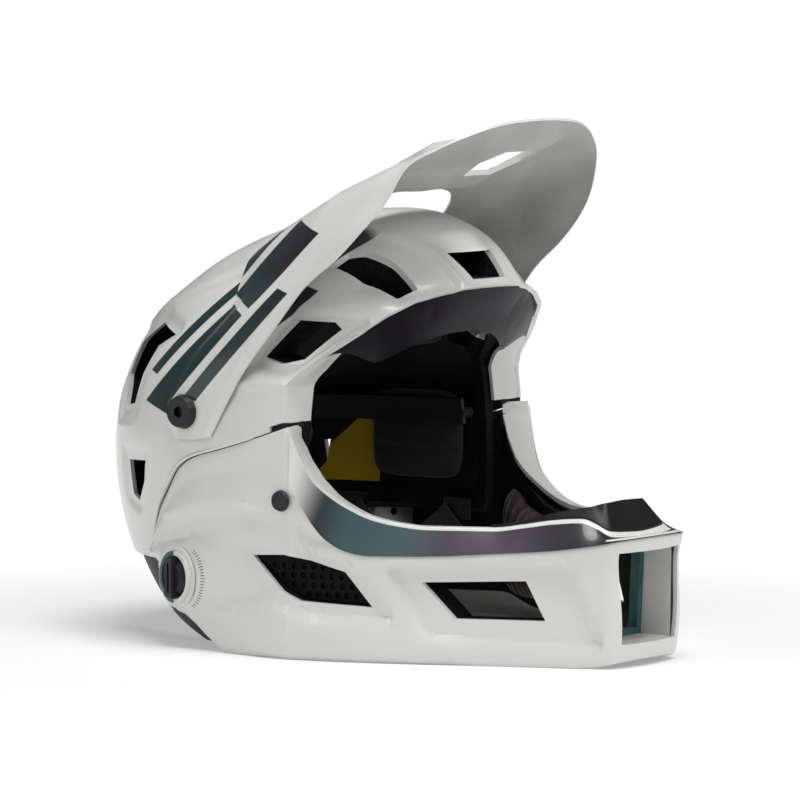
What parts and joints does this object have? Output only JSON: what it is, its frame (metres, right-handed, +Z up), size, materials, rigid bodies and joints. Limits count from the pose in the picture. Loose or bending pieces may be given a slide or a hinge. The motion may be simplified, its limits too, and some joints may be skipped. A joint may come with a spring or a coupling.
{
  "type": "full face bike helmet",
  "caption": "Full face bike helmet: vented shell, tilting visor, chin bar released by two side knobs, slip liner, pads, dial fit cradle and chin strap.",
  "frame": {"origin": "on the ground, under the middle of the helmet's length and width", "axes": "+Z up, face port towards -Y, wearer's left towards +X"},
  "size_m": [0.2264, 0.348, 0.2902],
  "materials": {
    "shell_white": "smooth, slightly cloudy off-white gloss",
    "visor_white": "off-white gloss above, matte grey below",
    "skirt_black": "fine matte grain",
    "foam_black": "granular foam",
    "liner_yellow": "thin satin slip layer",
    "band_dark": "satin, shifting from teal to purple and black",
    "seal_black": "soft matte",
    "pad_cloth": "brushed knit over foam",
    "cheek_cloth": "ribbed knit over foam",
    "hardware_dark": "moulded satin",
    "screw_dark": "dark coated",
    "steel": "turned or stamped",
    "teal": "satin teal",
    "mesh_black": "perforated sheet",
    "webbing": "woven strap",
    "tab_red": "moulded"
  },
  "bodies": {
    "helmet": {"outer_shell": "shell_white", "rear_skirt": "skirt_black", "foam_liner": "foam_black", "slip_liner": "liner_yellow", "port_jambs": "shell_white", "port_gaskets": "seal_black", "brow_band": "band_dark", "brow_pad": "pad_cloth", "crown_pad_middle": "pad_cloth", "crown_pad_left": "pad_cloth", "crown_pad_right": "pad_cloth", "rear_pad": "pad_cloth", "ear_pad_left": "pad_cloth", "ear_pad_right": "pad_cloth", "visor_bosses": "hardware_dark", "visor_inserts": "steel", "visor_washers": "seal_black", "visor_screws": "screw_dark", "latch_plates": "steel", "headband": "hardware_dark", "cradle_hanger": "hardware_dark", "straps_left": "webbing", "straps_right": "webbing", "strap_anchors": "hardware_dark", "strap_dividers": "hardware_dark", "chin_straps": "webbing", "buckle_socket": "hardware_dark", "buckle_tongue": "hardware_dark"},
    "visor": {"visor": "visor_white"},
    "chin_bar": {"chin_bar_skin": "shell_white", "chin_bar_liner": "foam_black", "chin_band": "band_dark", "chin_deck": "skirt_black", "window_tunnel": "shell_white", "window_frame": "teal", "side_vent_meshes": "mesh_black", "chin_studs": "screw_dark", "cheek_pad_left": "cheek_cloth", "cheek_pad_right": "cheek_cloth", "knob_housings": "shell_white", "knob_collars": "teal"},
    "cradle": {"cradle": "hardware_dark", "rack_cover": "hardware_dark"},
    "knob_left": {"knob_left": "hardware_dark"},
    "knob_right": {"knob_right": "hardware_dark"},
    "fit_dial": {"fit_dial": "hardware_dark"},
    "rack_left": {"rack_left": "hardware_dark"},
    "rack_right": {"rack_right": "hardware_dark"},
    "buckle_tab": {"buckle_tab": "tab_red"}
  },
  "joints": [
    {"name": "visor_tilt", "type": "hinge", "parent": "helmet", "child": "visor", "pos_m": [0, 0.0641, 0.1298], "axis": [1, 0, 0], "range_deg": [-6, 12]},
    {"name": "chin_bar_release", "type": "slide", "parent": "helmet", "child": "chin_bar", "axis": [0, -1, 0], "range_m": [0, 0.2]},
    {"name": "knob_left_turn", "type": "hinge", "parent": "chin_bar", "child": "knob_left", "pos_m": [0.103, 0.0711, 0.0388], "axis": [0.9613, 0.2756, 0], "range_deg": [0, 90]},
    {"name": "knob_right_turn", "type": "hinge", "parent": "chin_bar", "child": "knob_right", "pos_m": [-0.103, 0.0711, 0.0388], "axis": [-0.9613, 0.2756, 0], "range_deg": [-90, 0]},
    {"name": "cradle_height", "type": "slide", "parent": "helmet", "child": "cradle", "axis": [0, 0, 1], "range_m": [-0.008, 0.008]},
    {"name": "fit_dial_turn", "type": "hinge", "parent": "cradle", "child": "fit_dial", "pos_m": [0, 0.1265, 0.0578], "axis": [0, 1, 0], "range_deg": [-80, 80]},
    {"name": "rack_left_travel", "type": "slide", "parent": "cradle", "child": "rack_left", "axis": [1, 0, 0], "range_m": [-0.007, 0.007]},
    {"name": "rack_right_travel", "type": "slide", "parent": "cradle", "child": "rack_right", "axis": [-1, 0, 0], "range_m": [-0.007, 0.007]},
    {"name": "buckle_tab_slide", "type": "slide", "parent": "helmet", "child": "buckle_tab", "axis": [0, 1, 0], "range_m": [0, 0.004], "stiffness_N_per_m": 300}
  ],
  "couplings": [
    {"joint": "rack_left_travel", "follows": "fit_dial_turn", "m_per_rad": 0.005},
    {"joint": "rack_right_travel", "follows": "fit_dial_turn", "m_per_rad": 0.005}
  ]
}
